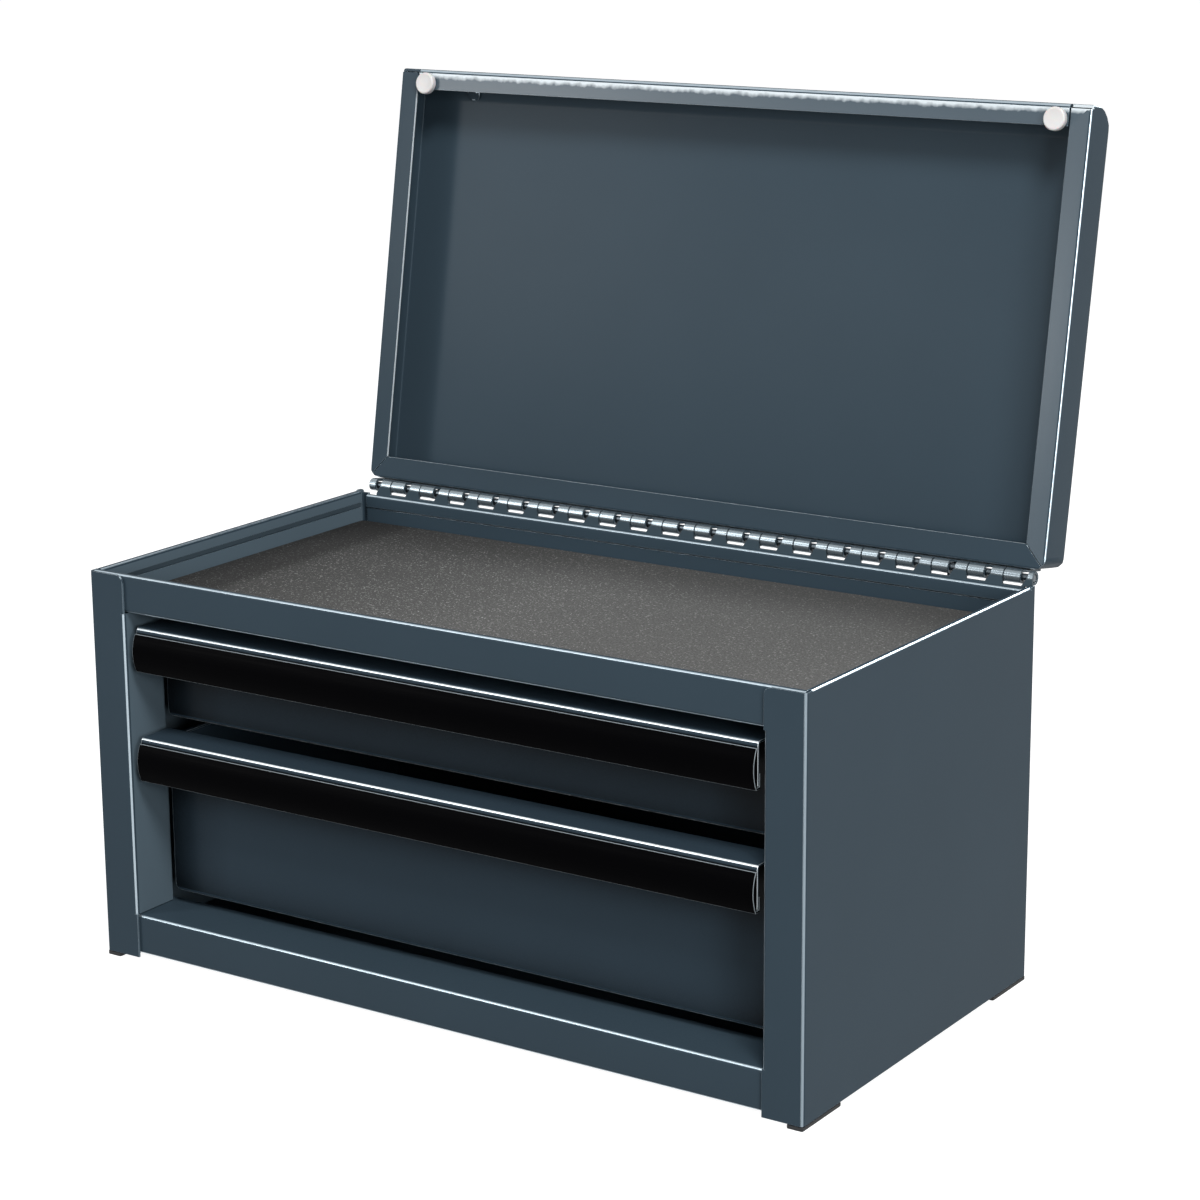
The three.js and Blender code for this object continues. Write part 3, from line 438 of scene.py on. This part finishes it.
def finish_of(slot):
    """The material of a finish, made when it is first asked for."""
    if slot not in finishes:
        scene = bpy.context.scene
        finishes[slot] = MAKERS[slot](scene.chest_colours, scene.chest_sizes)
    return finishes[slot]


SLOT_OF = {row["node"]: row["material_slot"] for row in frame["record"]["subparts"]}
BODY_OF = {
    node: body for body, nodes in frame["record"]["behaviour"]["bodies"].items() for node in nodes}

# A painted piece's further finishes, which paint highlights, sheen, light and shade on it, and the slots of its
# mesh that hold them
PAINTED_LIGHT = ("bend", "lip", "inner", "panel", "front_lip", "lip_edge", "corner")
BEND, LIP, INNER, PANEL, FRONT_LIP, LIP_EDGE, CORNER = range(1, len(PAINTED_LIGHT) + 1)


# Pieces

def show(bm, node, ending, rounded=True, more=()):
    """Makes an object that stands for its CAD node, with that node's body and finish.

    More lists the finishes of its further slots, of which the first goes to the rounded edges.
    """
    sizes = bpy.context.scene.chest_sizes
    mesh = finished_mesh(bm, f"{node}_{ending}")
    piece = bpy.data.objects.new(mesh.name, mesh)
    bpy.context.scene.collection.objects.link(piece)
    mesh.shade_smooth()
    if rounded:
        edges = piece.modifiers.new("painted_edges", "BEVEL")
        edges.width = sizes.edge_round
        edges.segments = sizes.edge_steps
        edges.limit_method = "ANGLE"
        edges.angle_limit = sizes.fold_angle
        edges.harden_normals = False
        # Rounded cut edges take the first further finish, which is mostly a painted highlight
        edges.material = 1 if more else -1
    flat = piece.modifiers.new("flat_faces", "WEIGHTED_NORMAL")
    flat.mode = "FACE_AREA"
    flat.weight = 50
    slot = SLOT_OF[node]
    for finish in (slot, *more):
        mesh.materials.append(finish_of(finish))
    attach(piece, BODY_OF[node])
    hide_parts(node)


def merged_copy(node):
    """A copy of a CAD node with its triangles joined into flat faces."""
    bm = bmesh.new()
    bm.from_mesh(frame["nodes"][node].data)
    bmesh.ops.remove_doubles(bm, verts=bm.verts, dist=0.01 * MM)
    bmesh.ops.dissolve_limit(bm, angle_limit=math.radians(0.5), verts=bm.verts, edges=bm.edges)
    return bm


def finished_mesh(bm, name):
    """Turns the editing mesh into a mesh, and frees it."""
    mesh = bpy.data.meshes.new(name)
    bm.to_mesh(mesh)
    bm.free()
    return mesh


def dressed_copy(node):
    """Dresses a CAD node whose own shape is right: its finish, rounded edges, and painted highlights, sheen, light
    and shade.
    """
    bm = merged_copy(node)
    upright = lid_upright if BODY_OF[node] == "lid" else Matrix.Identity(3)
    painted = SLOT_OF[node] in ("slate_paint", "slate_drawer")
    for face in bm.faces:
        face.material_index = painted_light_slot(face, node, upright) if painted else 0
    if node == "lid_shell":
        paint_lip_light(bm, upright)
    more = ()
    if painted:
        # A drawer front's bends and cut edges take the nose's painted highlight
        more = ("nose", *PAINTED_LIGHT[1:]) if node.endswith("drawer_front") else PAINTED_LIGHT
    elif SLOT_OF[node] == "gloss_black":
        # A pull's rounded edges take a painted highlight
        more = ("pull_edge",)
    show(bm, node, "dressed", more=more)


def painted_light_slot(face, node, upright):
    """The slot of one face of a painted piece, by the painted highlight, light or shade it takes there."""
    place = face.calc_center_median()
    inward = abs(face.normal.x) > ALONG and face.normal.x * place.x < 0
    # Walls facing into the chest take painted light
    if inward and node in ("case_side_left", "case_side_right", "tray_panel"):
        return INNER
    # A drawer's front panel takes painted shade
    if node.endswith("drawer_front") and face.normal.y < -ALONG:
        return PANEL
    # Crests of bends take a painted highlight, dimmer on the case's upright corners
    if not on_crest(face, upright):
        return 0
    at_side = abs(place.x) > half_width - bpy.context.scene.chest_sizes.corner_line
    if at_side and BODY_OF[node] == "case" and abs(face.normal.z) < ACROSS:
        return CORNER
    return BEND


def on_crest(face, upright):
    """Whether a face is the middle strip of a folded bend, seen with its piece turned upright."""
    leeway = 0.45
    long_edges = sorted(face.edges, key=lambda edge: edge.calc_length())[-2:]
    width = face.calc_area() / long_edges[-1].calc_length()
    low, middle, high = sorted(abs(part) for part in upright @ face.normal)
    diagonal = low < ACROSS and high - middle < leeway
    narrow = width < bpy.context.scene.chest_sizes.bend_line
    return diagonal and narrow and all(edge.is_convex for edge in long_edges)


def paint_lip_light(bm, upright):
    """Gives the lid's front and right lips a painted sheen, the front one with a band of painted glare, and the
    cut edges round the opening a painted highlight, up to their mitred corners.
    """
    sizes = bpy.context.scene.chest_sizes
    lip_depth, edge_depth, most_of, nearly_along = 2 * MM, 1.2 * MM, 0.9, 0.95
    places = [upright @ vertex.co for vertex in bm.verts]
    outer = max(place.x for place in places)
    low, high = (find(place.z for place in places) for find in (min, max))
    inverse = upright.inverted()
    for side in (-1, 1):
        for level, width in ((low, sizes.rear_lip), (high, -sizes.front_lip)):
            corner = Vector((side * (outer - sizes.side_lip), 0, level + width))
            across = Vector((side * width, 0, sizes.side_lip))
            bmesh.ops.bisect_plane(
                bm, geom=[*bm.verts, *bm.edges, *bm.faces], dist=0.001 * MM,
                plane_co=inverse @ corner, plane_no=inverse @ across)
    # The front and right lips take a painted sheen, and the front one its band of painted glare
    facing = [face for face in bm.faces if (upright @ face.normal).y < -ALONG]
    middle = {face: upright @ face.calc_center_median() for face in facing}
    nearest = min(place.y for place in middle.values())
    for face in facing:
        rear = middle[face].z < low + sizes.rear_lip
        left = middle[face].x < -(outer - sizes.side_lip)
        if middle[face].y < nearest + lip_depth and not rear and not left:
            face.material_index = FRONT_LIP if middle[face].z > high - sizes.front_lip else LIP
    # Cut edges round the opening take a painted highlight
    for face in bm.faces:
        across, _, along = (abs(part) for part in upright @ face.normal)
        place = upright @ face.calc_center_median()
        deepest = max((upright @ vertex.co).y for vertex in face.verts)
        inner = abs(place.x) < outer - most_of * sizes.side_lip and (
            low + most_of * sizes.rear_lip < place.z < high - most_of * sizes.front_lip)
        straight = max(across, along) > nearly_along
        if inner and straight and deepest < nearest + edge_depth:
            face.material_index = LIP_EDGE


def dress(*words):
    """Dresses every CAD node whose name holds one of the words."""
    for node in frame["nodes"]:
        if any(word in node for word in words):
            dressed_copy(node)


class CHEST_OT_hinge(Operator):
    """Dresses the hinge's pin and its two leaves, with knuckles whose coat is worn bright"""
    bl_idname = "chest.hinge"
    bl_label = "Hinge"

    def execute(self, context):
        sizes = context.scene.chest_sizes
        skin = (sizes.knuckle_radius * 0.93, sizes.knuckle_radius * 1.02)
        slack = 0.05 * MM
        # The leaves' rounded cut edges take the pin's dark coat, a painted shade round the slots
        more = ("coated_wire", "curl")
        for node in ("hinge_leaf_case", "hinge_leaf_lid"):
            bm = merged_copy(node)
            for vertex in bm.verts:
                arm = Vector((0, vertex.co.y - hinge.y, vertex.co.z - hinge.z))
                if skin[0] < arm.length < skin[1]:
                    vertex.co += arm.normalized() * sizes.knuckle_swell
                elif node == "hinge_leaf_lid" and vertex.co.x > sizes.leaf_end:
                    vertex.co.x = sizes.leaf_end
                elif abs(arm.z + sizes.slot_depth) < slack:
                    vertex.co.z += sizes.knuckle_swell
            for face in bm.faces:
                reach = max(math.hypot(*(vertex.co - hinge).yz) for vertex in face.verts)
                around = reach < sizes.knuckle_radius + 2 * sizes.knuckle_swell
                curled = around and abs(face.normal.x) < 0.5
                face.material_index = 1 + more.index("curl") if curled else 0
            show(bm, node, "dressed", more=more)
        dress("hinge_pin")
        return {"FINISHED"}


class CHEST_OT_bumpers(Operator):
    """Turns the lid's two bumpers, each a dished disc with a round rim"""
    bl_idname = "chest.bumpers"
    bl_label = "Bumpers"

    def execute(self, context):
        sizes = context.scene.chest_sizes
        radius, height = sizes.bumper_radius, sizes.bumper_height
        rim = sizes.bumper_rim
        # From the middle of its dished face, out over the round rim and back under it
        section = [(0.0, height - rim * 0.5), (radius - rim * 2.6, height - rim * 0.45),
                   (radius - rim * 1.7, height), (radius - rim, height - rim * 0.1),
                   (radius - rim * 0.35, height - rim * 0.5), (radius, height - rim * 1.3),
                   (radius, rim * 0.3), (radius - rim * 0.3, 0.0), (0.0, 0.0)]
        for node in ("lid_bumper_left", "lid_bumper_right"):
            low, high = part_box(node)
            foot = Vector(((low.x + high.x) / 2, high.y, low.z))
            foot += lid_upright.inverted() @ Vector((0, 0, radius))
            foot.y -= 2 * radius * math.sin(lid_lean)
            bm = bmesh.new()
            points = [bm.verts.new((out, 0.0, up)) for out, up in section]
            edges = [bm.edges.new(pair) for pair in zip(points, points[1:])]
            bmesh.ops.spin(bm, geom=[*points, *edges], cent=(0, 0, 0), axis=(0, 0, 1),
                           angle=math.tau, steps=64, use_merge=True)
            bmesh.ops.remove_doubles(bm, verts=bm.verts, dist=0.005 * MM)
            bmesh.ops.recalc_face_normals(bm, faces=bm.faces)
            stand = lid_upright.inverted() @ Matrix.Rotation(math.radians(90), 3, "X")
            bm.transform(Matrix.Translation(foot) @ stand.to_4x4())
            show(bm, node, "turned", rounded=False)
        return {"FINISHED"}


class CHEST_OT_case(Operator):
    """Dresses the case's folded panels, the tray, the uprights inside and the lid's stops"""
    bl_idname = "chest.case"
    bl_label = "Case"

    def execute(self, context):
        dress("case_", "tray_panel", "rear_upright", "lid_stop")
        return {"FINISHED"}


class CHEST_OT_lid(Operator):
    """Dresses the lid's pan, with the painted sheen and highlights on its lips, and the rivet inside it"""
    bl_idname = "chest.lid"
    bl_label = "Lid"

    def execute(self, context):
        dress("lid_shell", "lid_rivet")
        return {"FINISHED"}


class CHEST_OT_drawers(Operator):
    """Dresses the drawers' boxes and fronts, with the painted highlight along their noses"""
    bl_idname = "chest.drawers"
    bl_label = "Drawers"

    def execute(self, context):
        dress("drawer_box", "drawer_front")
        return {"FINISHED"}


class CHEST_OT_pulls(Operator):
    """Dresses the drawers' full-width pulls"""
    bl_idname = "chest.pulls"
    bl_label = "Pulls"

    def execute(self, context):
        dress("drawer_pull")
        return {"FINISHED"}


class CHEST_OT_slides(Operator):
    """Dresses the case's and the drawers' halves of the slides"""
    bl_idname = "chest.slides"
    bl_label = "Slides"

    def execute(self, context):
        dress("_channel_", "_runner_")
        return {"FINISHED"}


class CHEST_OT_liners(Operator):
    """Dresses the foam mats of the tray and the drawers"""
    bl_idname = "chest.liners"
    bl_label = "Liners"

    def execute(self, context):
        dress("liner")
        return {"FINISHED"}


class CHEST_OT_feet(Operator):
    """Dresses the four feet"""
    bl_idname = "chest.feet"
    bl_label = "Feet"

    def execute(self, context):
        dress("foot_")
        return {"FINISHED"}


# Stage

class CHEST_OT_stage(Operator):
    """Lays the floor, sets the lamps and the world, and places the camera"""
    bl_idname = "chest.stage"
    bl_label = "Stage"

    def execute(self, context):
        scene = context.scene
        scene.view_settings.view_transform = "Standard"
        self.floor(context)
        self.lamps(context)
        self.world(context)
        self.camera(context)
        return {"FINISHED"}

    def seen_directly(self, tree):
        """One for what the eye sees, also in a reflection or through a clear piece, else zero."""
        paths = add_node(tree, "ShaderNodeLightPath")
        mirrored = add_node(tree, "ShaderNodeMath", {
            0: paths.outputs["Is Camera Ray"], 1: paths.outputs["Is Glossy Ray"]},
            operation="MAXIMUM")
        through = add_node(tree, "ShaderNodeMath", {
            0: mirrored.outputs["Value"], 1: paths.outputs["Is Transmission Ray"]},
            operation="MAXIMUM")
        return through.outputs["Value"]

    def floor(self, context):
        bm = bmesh.new()
        bmesh.ops.create_grid(bm, x_segments=1, y_segments=1, size=6.0)
        mesh = finished_mesh(bm, "floor")
        floor = bpy.data.objects.new("floor", mesh)
        context.scene.collection.objects.link(floor)
        material, tree, output = new_material("white_paper")
        paper = add_node(tree, "ShaderNodeBsdfDiffuse", {"Color": (0.3, 0.3, 0.3, 1.0)})
        glow = add_node(tree, "ShaderNodeEmission", {
            "Color": opaque(context.scene.chest_colours.floor), "Strength": 0.97})
        white = add_node(tree, "ShaderNodeAddShader", {
            0: paper.outputs["BSDF"], 1: glow.outputs["Emission"]})
        mixed = add_node(tree, "ShaderNodeMixShader", {
            0: self.seen_directly(tree), 1: paper.outputs["BSDF"], 2: white.outputs["Shader"]})
        tree.links.new(mixed.outputs["Shader"], output.inputs["Surface"])
        mesh.materials.append(material)

    def lamps(self, context):
        chest_middle = Vector((0, 0, 0.12))
        for name, place, width, height, power in (
                ("key", (0.75, -0.85, 1.6), 0.5, 0.5, 27.0),
                ("side", (1.4, -0.95, 0.5), 0.5, 0.5, 12.0),
                ("strip", (-1.0, -1.15, 0.95), 0.3, 1.3, 7.0),
                ("low", (-0.95, -1.3, 0.48), 0.9, 0.2, 2.6),
                ("rim", (0.5, 1.6, 1.1), 0.6, 0.5, 17.0)):
            lamp = bpy.data.lights.new(name, "AREA")
            lamp.shape = "RECTANGLE"
            lamp.size = width
            lamp.size_y = height
            lamp.energy = power
            holder = bpy.data.objects.new(name, lamp)
            holder.location = place
            aim = chest_middle - Vector(place)
            holder.rotation_euler = aim.to_track_quat("-Z", "Y").to_euler()
            context.scene.collection.objects.link(holder)

    def world(self, context):
        world = bpy.data.worlds.new("studio")
        world.use_nodes = True
        tree = world.node_tree
        tree.nodes.clear()
        output = add_node(tree, "ShaderNodeOutputWorld")
        soft = add_node(tree, "ShaderNodeBackground", {"Color": (1, 1, 1, 1), "Strength": 0.12})
        white = add_node(tree, "ShaderNodeBackground", {"Color": (1, 1, 1, 1), "Strength": 1.0})
        mixed = add_node(tree, "ShaderNodeMixShader", {
            0: self.seen_directly(tree),
            1: soft.outputs["Background"], 2: white.outputs["Background"]})
        tree.links.new(mixed.outputs["Shader"], output.inputs["Surface"])
        context.scene.world = world

    def camera(self, context):
        # Fitted to the case's corners in the photograph, and placed from its low front left corner
        azimuth, elevation, roll = (math.radians(angle) for angle in (33.816, 14.5, -0.437))
        from_corner = Vector((730.83, -777.31, 398.13)) * MM
        back = Vector((math.sin(azimuth) * math.cos(elevation),
                       -math.cos(azimuth) * math.cos(elevation), math.sin(elevation)))
        right = Vector((math.cos(azimuth), math.sin(azimuth), 0.0))
        up = back.cross(right)
        turn = Matrix((right, up, back)).transposed() @ Matrix.Rotation(roll, 3, "Z")
        place = from_corner + case_low
        lens = bpy.data.cameras.new("photo_camera")
        lens.lens = 95.13
        lens.sensor_width = 36.0
        lens.clip_end = 20.0
        camera = bpy.data.objects.new("photo_camera", lens)
        camera.matrix_world = Matrix.Translation(place) @ turn.to_4x4()
        context.scene.collection.objects.link(camera)
        context.scene.camera = camera


class CHEST_PT_panel(Panel):
    """Lists the pieces and the stage"""
    bl_idname = "CHEST_PT_panel"
    bl_label = "Tool chest"
    bl_space_type = "VIEW_3D"
    bl_region_type = "UI"
    bl_category = "Tool chest"

    def draw(self, context):
        for operator in OPERATORS:
            self.layout.operator(operator.bl_idname)
        for group in (context.scene.chest_sizes, context.scene.chest_colours):
            for name in group.bl_rna.properties.keys():
                if name not in ("rna_type", "name"):
                    self.layout.prop(group, name)


OPERATORS = (
    CHEST_OT_stage, CHEST_OT_case, CHEST_OT_feet, CHEST_OT_hinge, CHEST_OT_lid, CHEST_OT_bumpers,
    CHEST_OT_drawers, CHEST_OT_pulls, CHEST_OT_slides, CHEST_OT_liners)
CLASSES = (ChestSizes, ChestColours, *OPERATORS, CHEST_PT_panel)


def register():
    for made in CLASSES:
        bpy.utils.register_class(made)
    bpy.types.Scene.chest_sizes = PointerProperty(type=ChestSizes)
    bpy.types.Scene.chest_colours = PointerProperty(type=ChestColours)


def unregister():
    del bpy.types.Scene.chest_colours
    del bpy.types.Scene.chest_sizes
    for made in reversed(CLASSES):
        bpy.utils.unregister_class(made)


def main():
    register()
    bpy.ops.chest.stage()
    bpy.ops.chest.case()
    bpy.ops.chest.feet()
    bpy.ops.chest.hinge()
    bpy.ops.chest.lid()
    bpy.ops.chest.bumpers()
    bpy.ops.chest.drawers()
    bpy.ops.chest.pulls()
    bpy.ops.chest.slides()
    bpy.ops.chest.liners()


if __name__ == "__main__":
    main()
